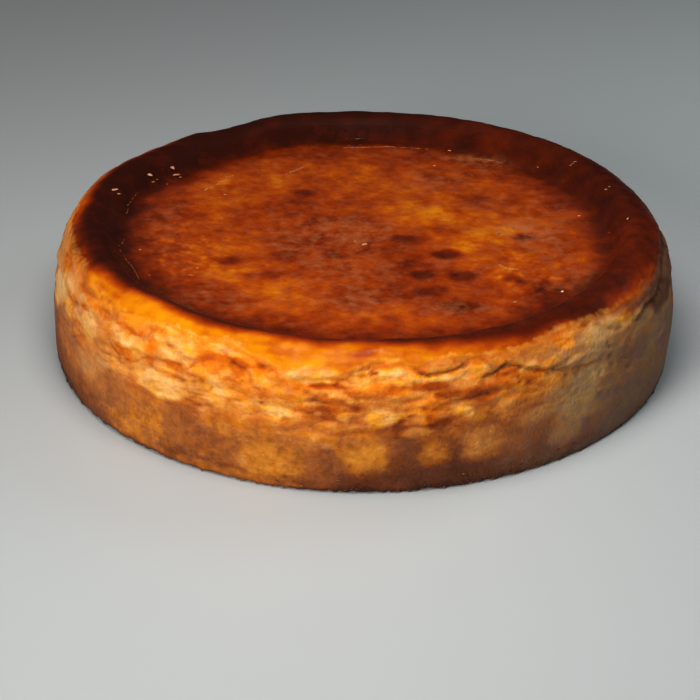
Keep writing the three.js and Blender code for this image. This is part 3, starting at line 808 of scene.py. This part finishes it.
def floor_baking(s):
    """How far the sunken floor's skin is baked, and how far each point is in one of its darkest spots."""
    bake = look_up(FLOOR_BAKE, s.radius)
    bake += 0.09 * s.noise(32, 8, octaves=2) + 0.07 * s.noise(33, 20)
    for *place, amount in FLOOR_PLACES:
        bake += amount * patch_of_floor(s, place)
    near_spot = np.zeros_like(bake)
    for x, y, half_x, half_y, amount in FLOOR_SPOTS:
        far = np.hypot((s.x - x) / half_x, (s.y - y) / half_y)
        share = smooth(1.35, 0.5, far + 0.25 * s.ragged)
        bake += amount * share
        near_spot = np.maximum(near_spot, share)
    rng = np.random.default_rng(54)
    for _ in range(110):
        x, y = spot_in_disc(rng, 90)
        size, far = rng.uniform(1.5, 3.6), np.hypot(s.x - x, s.y - y)
        bake += rng.uniform(-0.08, 0.1) * smooth(1.6 * size, 0.3 * size, far)
    streaked = patch_of_floor(s, (70, -38, 17, 15)) + patch_of_floor(s, (-72, -20, 14, 22))
    bake -= 0.16 * streaked * smooth(0.1, 0.5, rimward(s))
    return bake, near_spot


def skin_baking(s):
    """How far the skin is baked, and how mottled it is."""
    band = band_baking(s)
    floor, near_spot = floor_baking(s)
    uneven_radius = s.radius + 3 * s.noise(34, 14, octaves=2)
    inner = smooth(FOOT_RADIUS + 6, FOOT_RADIUS - 5, uneven_radius) * s.on_top
    mottled = smooth(FOOT_RADIUS, FOOT_RADIUS - 16, uneven_radius) * s.on_top * (1 - 0.7 * near_spot)
    return band + (floor - band) * inner, mottled


def floor_bloom_and_sheen(s):
    """Where the sunken floor's skin is dulled pinkish: a dried bloom, partly painted sheen."""
    return sum(amount * patch_of_floor(s, place) for *place, amount in FLOOR_BLOOM_AND_SHEEN)


# ---------------------------------------- meshes
STRIP_LENGTH = math.pi * SIDE_RADIUS  # the side is unwrapped as two half-turn strips
STRIP_HEIGHT = 80.0
STRIP_GAP = 4
DISCS_FROM = 2 * STRIP_HEIGHT + 12
UNDERSIDE_REACH = 62  # half the underside's radius, because it is unwrapped at half size, and a margin
MAP_MARGIN = 3
MAP_SIZE = STRIP_LENGTH + 2 * MAP_MARGIN


def unwrap(s, faces):
    """UVs for each face's corners: the side as two half-turn strips, the floor and underside as discs."""
    bearing, along = s.bearing[faces], s.along[faces]
    x, y = s.x[faces], s.y[faces]
    facing = np.degrees(np.arctan2(x.mean(1), -y.mean(1)))[:, None]
    middle_along = along.mean(1)[:, None]

    right = facing >= 0
    across = (facing + turn_between(bearing, facing)) / 180 * STRIP_LENGTH
    strip_x = MAP_MARGIN + across + np.where(right, 0, STRIP_LENGTH)
    strip_y = MAP_MARGIN + (along - s.line.bottom) + np.where(right, 0, STRIP_HEIGHT + STRIP_GAP)
    floor_x, floor_y = MAP_MARGIN + FOOT_RADIUS + x, DISCS_FROM + FOOT_RADIUS + y
    underside_x = 2 * FOOT_RADIUS + UNDERSIDE_REACH + 8 + x / 2
    underside_y = DISCS_FROM + UNDERSIDE_REACH + y / 2

    on_floor = middle_along > s.line.foot
    below = middle_along < s.line.bottom
    u = np.where(on_floor, floor_x, np.where(below, underside_x, strip_x))
    v = np.where(on_floor, floor_y, np.where(below, underside_y, strip_y))
    return np.stack([u, v], 2).reshape(-1, 2) / MAP_SIZE


def mesh_object(name, points, faces, material, masks=None, uvs=None):
    """A smooth-shaded mesh from points in millimetres, at the origin."""
    mesh = bpy.data.meshes.new(name)
    mesh.from_pydata((points * MM).tolist(), [], faces)
    mesh.polygons.foreach_set("use_smooth", np.ones(len(mesh.polygons), dtype=bool))
    for mask, values in (masks or {}).items():
        mesh.attributes.new(mask, "FLOAT", "POINT").data.foreach_set("value", values.astype(np.float32))
    if uvs is not None:
        mesh.uv_layers.new(name="OFBake").data.foreach_set("uv", uvs.astype(np.float32).ravel())
    mesh.materials.append(material)
    piece = bpy.data.objects.new(name, mesh)
    bpy.context.collection.objects.link(piece)
    return piece


def blobs(name, places, material, seed):
    """Small uneven lumps joined into one mesh; each is a point, three lengths, a direction and a tone."""
    ball = bmesh.new()
    bmesh.ops.create_icosphere(ball, subdivisions=2, radius=0.5)
    shape = np.array([corner.co for corner in ball.verts])
    sides = np.array([[corner.index for corner in face.verts] for face in ball.faces])
    ball.free()
    rng = np.random.default_rng(seed)
    points, faces, tones = [], [], []
    for k, (middle, lengths, direction, tone) in enumerate(places):
        uneven = 1 + 0.35 * Noise(seed).at(shape * 2.2 + rng.uniform(0, 90, 3), 1)
        across, along = math.sin(direction), math.cos(direction)
        turned = np.array([[along, -across, 0], [across, along, 0], [0, 0, 1]])
        points.append(middle + (shape * uneven[:, None] * lengths) @ turned.T)
        faces.append(sides + k * len(shape))
        tones.append(np.full(len(shape), tone))
    points, faces, tones = np.concatenate(points), np.concatenate(faces), np.concatenate(tones)
    points[:, 2] = np.maximum(points[:, 2], 0.01)
    return mesh_object(name, points, faces.tolist(), material, {"tone": tones})


def slivers(points, width, tone, rng):
    """Thin uneven slivers end to end along a scratch, in the form of SPECKS_AND_GLINTS."""
    for (x, y), (next_x, next_y) in itertools.pairwise(points):
        run, rise = next_x - x, next_y - y
        direction = math.degrees(math.atan2(rise, run))
        for share in np.arange(0, 1, 1.3 / math.hypot(run, rise)):
            if rng.uniform() < 0.85:
                at = (x, y) + share * np.array([run, rise]) + rng.normal(0, 0.12, 2)
                across, length = width * rng.uniform(0.5, 1.1), rng.uniform(1.4, 3)
                yield *at, length, across, direction + rng.normal(0, 6), tone * rng.uniform(0.6, 1.3)


def stray_specks(rng):
    """Small dark specks over the whole top, in the form of SPECKS_AND_GLINTS."""
    for _ in range(45):
        place, size = spot_in_disc(rng, 98, least=0.2), rng.uniform(0.35, 0.8)
        yield *place, 1.5 * size, size, 0, rng.uniform(0, 0.2)


def fleck_and_glint_places(points):
    """Where the flecks and painted glints lie on the top's own uneven surface."""
    rng = np.random.default_rng(60)
    found = list(SPECKS_AND_GLINTS)
    for scratch in SCRATCHES_AND_GLINTS:
        found += slivers(*scratch, rng)
    found += stray_specks(rng)
    top = points[points[:, 2] > FLOOR_HEIGHT - 2]
    places = []
    for x, y, length, width, direction, tone in found:
        nearest = np.hypot(top[:, 0] - x, top[:, 1] - y).argmin()
        middle = np.array([x, y, top[nearest, 2]])
        thick = min(0.4 * width, 0.3)
        places.append((middle, np.array([length, width, thick]), math.radians(direction), tone))
    return places


def crumb_bearings(rng):
    """Each crumb's bearing and highest place: most are at the front, where the paper tore the edge."""
    for middle, spread, count, highest in [(-30, 15, 24, 2), (18, 17, 110, 6)]:
        for bearing in rng.normal(middle, spread, count):
            yield bearing, highest
    for bearing in rng.uniform(-180, 180, 110):
        yield bearing, 4


def edge_crumb_places(s, points):
    """Crumbs stuck low on the side, paler at the left."""
    rng = np.random.default_rng(61)
    low = np.flatnonzero((s.height > 0.3) & (s.height < 9) & (s.radius > SIDE_RADIUS - 3))
    places = []
    for bearing, highest in crumb_bearings(rng):
        height = highest * rng.uniform(0.05, 1) ** 2
        off = 2 * np.abs(turn_between(s.bearing[low], bearing)) + np.abs(s.height[low] - height)
        k = low[off.argmin()]
        size = rng.uniform(0.35, 0.95)
        lengths = size * rng.uniform([0.9, 0.6, 0.4], [2.2, 1.0, 0.8])
        turn = math.radians(s.bearing[k]) + rng.normal(0, 0.3)
        tone = rng.uniform(0.25, 0.5) if bearing < -8 else 0.5 * rng.uniform(0.1, 1) ** 2
        places.append((points[k], lengths, turn, tone))
    return places


# ---------------------------------------- materials
def srgb(code):
    """A colour written like "9c4a14" as the linear values that a socket takes."""
    parts = [int(code[k : k + 2], 16) / 255 for k in (0, 2, 4)]
    return [part / 12.92 if part <= 0.04045 else ((part + 0.055) / 1.055) ** 2.4 for part in parts] + [1]


class Shader:
    """One material's nodes, added a step at a time."""

    def __init__(self, name):
        self.material = bpy.data.materials.new(name)
        self.material.use_nodes = True
        self.tree = self.material.node_tree
        self.surface = self.tree.nodes["Principled BSDF"]
        self.place = self.tree.nodes.new("ShaderNodeTexCoord").outputs["Object"]

    def put(self, value, socket):
        """Links another node's output to a socket, or sets the socket to a constant."""
        if isinstance(value, bpy.types.NodeSocket):
            self.tree.links.new(value, socket)
        else:
            socket.default_value = value

    def add(self, kind, inputs, **settings):
        node = self.tree.nodes.new(kind)
        for setting, value in settings.items():
            setattr(node, setting, value)
        for name, value in inputs.items():
            self.put(value, node.inputs[name])
        return node

    def mask(self, name):
        return self.add("ShaderNodeAttribute", {}, attribute_name=name).outputs["Fac"]

    def maths(self, operation, *values):
        return self.add("ShaderNodeMath", dict(enumerate(values)), operation=operation).outputs[0]

    def times(self, a, b):
        return self.maths("MULTIPLY", a, b)

    def vary(self, value, by, amount):
        """The value plus the amount times by."""
        return self.maths("MULTIPLY_ADD", by, amount, value)

    def noise(self, size, detail=4, stretch=(1, 1, 1), shift=0):
        """Noise either side of 0, mostly within 0.2, with lumps size millimetres across times stretch."""
        scale = [1 / (size * MM * longer) for longer in stretch]
        inputs = {"Vector": self.place, "Location": (shift, shift, shift), "Scale": scale}
        place = self.add("ShaderNodeMapping", inputs).outputs[0]
        inputs = {"Vector": place, "Scale": 1, "Detail": detail, "Roughness": 0.6}
        return self.maths("SUBTRACT", self.add("ShaderNodeTexNoise", inputs).outputs["Fac"], 0.5)

    def stretch(self, value, low, high, new_low=0, new_high=1):
        inputs = {0: value, 1: low, 2: high, 3: new_low, 4: new_high}
        return self.add("ShaderNodeMapRange", inputs).outputs[0]

    def ramp(self, value, stops):
        """A colour ramp through (position, colour) stops."""
        node = self.add("ShaderNodeValToRGB", {0: value})
        elements = node.color_ramp.elements
        elements.remove(elements[1])
        for k, (position, colour) in enumerate(stops):
            element = elements[0] if k == 0 else elements.new(position)
            element.position = position
            element.color = srgb(colour)
        return node.outputs["Color"]

    def mix(self, share, a, b, blend_type="MIX"):
        node = self.add("ShaderNodeMix", {0: share, 6: a, 7: b}, data_type="RGBA", blend_type=blend_type)
        return node.outputs[2]

    def bump(self, height, strength, depth):
        """Relief that is depth millimetres deep where the height is 1."""
        inputs = {"Strength": strength, "Distance": depth * MM, "Height": height}
        return self.add("ShaderNodeBump", inputs).outputs[0]

    def use(self, **sockets):
        """Fills the sockets of the material's surface."""
        for name, value in sockets.items():
            self.put(value, self.surface.inputs[name.replace("_", " ")])
        return self.material


SKIN_COLOURS = [
    (0, "ee8c04"), (0.12, "d97c04"), (0.25, "c06604"), (0.33, "b15204"), (0.4, "a34004"), (0.5, "8e3004"),
    (0.6, "7a2504"), (0.7, "631b04"), (0.85, "441205"), (1, "2a0c06"),
]
CRUMB_COLOURS = [
    (0, "ffe0a4"), (0.12, "fdce8e"), (0.25, "f4b668"), (0.4, "df9444"), (0.52, "c0722a"), (0.64, "9c5522"),
    (0.76, "753a1a"), (0.88, "4c2212"), (1, "25110b"),
]
GOLD_COLOURS = [
    (0.3, "eda23a"), (0.42, "d4882a"), (0.53, "bd701e"), (0.64, "985414"), (0.78, "6a3410"), (1, "2c160c"),
]
GLAZE_COLOURS = [
    (0, "ffc24a"), (0.25, "f69c1a"), (0.4, "df780a"), (0.52, "be5404"), (0.64, "983a05"), (0.76, "702507"),
    (1, "2c110a"),
]


class CakeShader(Shader):
    """The cake's nodes: the masks and the noise that its colours share, and the colours."""

    def __init__(self):
        super().__init__("baked_cheesecake")
        self.torn, self.dull, self.mottled = self.mask("torn"), self.mask("dull"), self.mask("mottled")
        self.blotches = self.noise(9, detail=3)
        self.mottles = self.noise(3.6, detail=3, shift=3)
        self.grains = self.noise(1.3, detail=2, shift=7)
        self.streaks = self.noise(1.9, stretch=(2.4, 2.4, 1), shift=11)

    def crumb(self, bake):
        """The colour of bare crumb: moist and yellow in places, pinkish where it is dull, and greyish where
        dullness passes 1, which is painted shade.
        """
        moist = self.stretch(self.noise(3.4, detail=3, stretch=(1.8, 1.8, 1), shift=23), -0.04, 0.1)
        moist = self.times(moist, self.stretch(self.dull, 0, 2, 1, 0.3))
        colour = self.mix(moist, self.ramp(bake, CRUMB_COLOURS), srgb("ffec60"), "MULTIPLY")
        uneven_dull = self.vary(self.vary(self.dull, self.mottles, 1.7), self.streaks, 1.2)
        colour = self.mix(self.stretch(uneven_dull, 0, 1, 0, 0.45), colour, srgb("8a5234"))
        # Dullness from 1 to 2 mixes in dim grey and khaki: painted shade of the side turned away from the
        # light.
        khaki = self.stretch(self.noise(6, detail=3, shift=19), -0.12, 0.12)
        grey = self.mix(khaki, srgb("765e58"), srgb("88744e"))
        return self.mix(self.stretch(uneven_dull, 1, 2, 0, 0.7), colour, grey)

    def glaze(self):
        """How far the skin's juices stained the crumb."""
        stains = self.vary(self.vary(self.times(self.streaks, 1.8), self.mottles, 1.5), self.grains, 1)
        stained = self.times(self.stretch(self.dull, 0.5, 1.5, 1, 0.2), self.vary(0.5, self.torn, 0.2))
        return self.stretch(self.vary(self.mask("glaze"), stains, stained), 0.05, 0.95, 0, 0.95)

    def side(self):
        """The side's colour: the noise shows more where the paper pressed the side smooth."""
        bake = self.vary(self.mask("side_bake"), self.blotches, self.vary(0.1, self.torn, 0.05))
        for noise, pressed, less in [
            (self.mottles, 0.33, -0.23),
            (self.streaks, 0.17, -0.1),
            (self.grains, 0.14, -0.08),
        ]:
            bake = self.vary(bake, noise, self.vary(pressed, self.torn, less))
        juice = self.mix(self.torn, self.ramp(bake, GOLD_COLOURS), self.ramp(bake, GLAZE_COLOURS))
        return self.mix(self.glaze(), self.crumb(bake), juice)

    def top(self):
        """The skin's colour, with a pinkish bloom, partly dried skin and partly painted sheen, where it is
        dull or mottled.
        """
        bake = self.vary(self.mask("skin_bake"), self.blotches, 0.4)
        bake = self.vary(bake, self.mottles, self.vary(0.1, self.mottled, 0.16))
        bake = self.vary(bake, self.grains, 0.05)
        dried = self.noise(4.4, detail=3, shift=15)
        bloom = self.times(self.dull, self.vary(self.vary(0.32, self.mottles, 1.1), dried, 1.6))
        bloom = self.vary(bloom, self.times(dried, 1.3), self.mottled)
        return self.mix(self.stretch(bloom, 0, 1, 0, 0.95), self.ramp(bake, SKIN_COLOURS), srgb("a0542c"))

    def skin(self):
        """1 on the skin and 0 on the side, with an uneven edge between them."""
        over = self.vary(self.vary(self.mask("above_edge"), self.streaks, 3), self.mottles, 2)
        softness = self.mask("edge_softness")
        return self.stretch(over, self.times(softness, -1), softness)


def baked_material():
    """The cake's own material: burnt glossy skin above, torn and paper-pressed side below."""
    shader = CakeShader()
    skin = shader.skin()
    skin_roughness = shader.vary(shader.vary(0.11, shader.mask("satin"), 0.45), shader.dull, 0.12)
    side_roughness = shader.vary(0.9, shader.grains, 0.4)
    rough = shader.stretch(skin, 0, 1, shader.vary(0.24, shader.torn, 0.1), 0.06)
    relief = shader.times(shader.vary(shader.grains, shader.streaks, 0.8), rough)
    relief = shader.vary(relief, shader.mottles, shader.vary(0.15, shader.mottled, 0.2))
    return shader.use(
        Base_Color=shader.mix(skin, shader.side(), shader.top()),
        Roughness=shader.stretch(skin, 0, 1, side_roughness, skin_roughness),
        Normal=shader.bump(relief, 1, 1),
        Specular_IOR_Level=0.35,
    )


def bits_material(name, colours, tone_noise, grain, bump, roughness, specular):
    """The material of small bits: a mask gives each its tone, and noise of a size and amount varies it."""
    shader = Shader(name)
    size, amount = tone_noise
    grains = shader.noise(grain)
    return shader.use(
        Base_Color=shader.ramp(shader.vary(shader.mask("tone"), shader.noise(size), amount), colours),
        Roughness=shader.vary(roughness, grains, 0.3),
        Normal=shader.bump(grains, *bump),
        Specular_IOR_Level=specular,
    )


def crumb_material():
    """Crumbs of the side: golden to brown."""
    colours = [(0, "3a1c12"), (0.3, "683e2c"), (0.6, "946648"), (1, "c49a6a")]
    return bits_material("loose_crumbs", colours, (1, 0.6), 0.5, (0.8, 0.3), roughness=0.7, specular=0.5)


def fleck_and_glint_material():
    """Dried skin and crumbs, and the pale painted glints: from orange brown to pale."""
    colours = [(0, "5a2814"), (0.35, "aa5c2e"), (0.6, "c08260"), (1, "dcb498")]
    return bits_material("dried_flecks_and_glints", colours, (0.8, 0.5), 0.4, (0.3, 0.2), roughness=0.75, specular=0.1)


def floor_material():
    shader = Shader("pale_floor")
    return shader.use(Base_Color=srgb("acaeac"), Roughness=0.5)


# ---------------------------------------- scene
STAGE_REACH = 3000.0  # half the width of the pale floor that the cake stands on, mm

# The camera that sees the cake as the photo does: its lens in millimetres, its place in metres and its
# turn in degrees about x, y and z.
CAMERA_LENS = 121.1
CAMERA_PLACE = (-0.004975, -0.839833, 0.440543)
CAMERA_TURN = (61.99693, -0.60172, 0.31997)


def placed(name, data, place, turn):
    """Puts a light or the camera at a place in metres, turned by angles about x, y and z."""
    thing = bpy.data.objects.new(name, data)
    bpy.context.collection.objects.link(thing)
    thing.location = place
    thing.rotation_euler = turn
    return thing


def soft_light(name, place, target, size, power, colour=(1, 1, 1), glints=False):
    """A round light turned towards a target; it either lights surfaces or only makes glints on them."""
    data = bpy.data.lights.new(name, "AREA")
    data.shape = "DISK"
    data.size = size
    data.energy = power
    data.color = colour
    turn = (Vector(target) - Vector(place)).to_track_quat("-Z", "Y").to_euler()
    light = placed(name, data, place, turn)
    light.visible_glossy = glints
    light.visible_diffuse = not glints
    return light


def room(grey):
    """Plain dim light from all round."""
    world = bpy.data.worlds.new("room")
    world.use_nodes = True
    world.node_tree.nodes["Background"].inputs["Color"].default_value = (*grey, 1)
    bpy.context.scene.world = world


def camera():
    data = bpy.data.cameras.new("camera")
    data.sensor_width = 36
    data.lens = CAMERA_LENS
    turn = [math.radians(angle) for angle in CAMERA_TURN]
    bpy.context.scene.camera = placed("camera", data, CAMERA_PLACE, turn)


bpy.context.scene.view_settings.view_transform = "Standard"

surface = Surface()
quads, triangles = surface.faces()
points, masks = cheesecake_shape(surface)
points[:, :2] -= (points.min(0) + points.max(0))[:2] / 2
uvs = np.vstack([unwrap(surface, quads), unwrap(surface, triangles)])
faces = quads.tolist() + triangles.tolist()
cake = mesh_object("baked_cheesecake", points, faces, baked_material(), masks, uvs)
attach(cake, "root")
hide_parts("cheesecake")

# Flecks of dried skin on the top, with pale slivers that paint glints.
flecks = blobs("skin_flecks_and_glints", fleck_and_glint_places(points), fleck_and_glint_material(), seed=62)
crumbs = blobs("edge_crumbs", edge_crumb_places(surface, points), crumb_material(), seed=63)
for piece in (flecks, crumbs):
    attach(piece, "root")

corners = STAGE_REACH * np.array([[-1, -1, 0], [1, -1, 0], [1, 1, 0], [-1, 1, 0]])
floor = mesh_object("floor", corners, [(0, 1, 2, 3)], floor_material())

soft_light("key", (-0.78, -1.14, 0.55), (0, 0, 0.03), 0.6, 19)
soft_light("near", (-0.03, -0.18, 0.43), (-0.03, -0.18, 0), 0.26, 1.85)
soft_light("fill", (0.42, 0.2, 0.42), (0.12, 0.1, 0), 0.3, 1.1, (0.82, 0.93, 1.0))
soft_light("glints", (0, 0, 1.3), (0, 0, 0), 0.07, 0.3, (1.0, 0.86, 0.62), glints=True)
room((0.024, 0.024, 0.024))
camera()
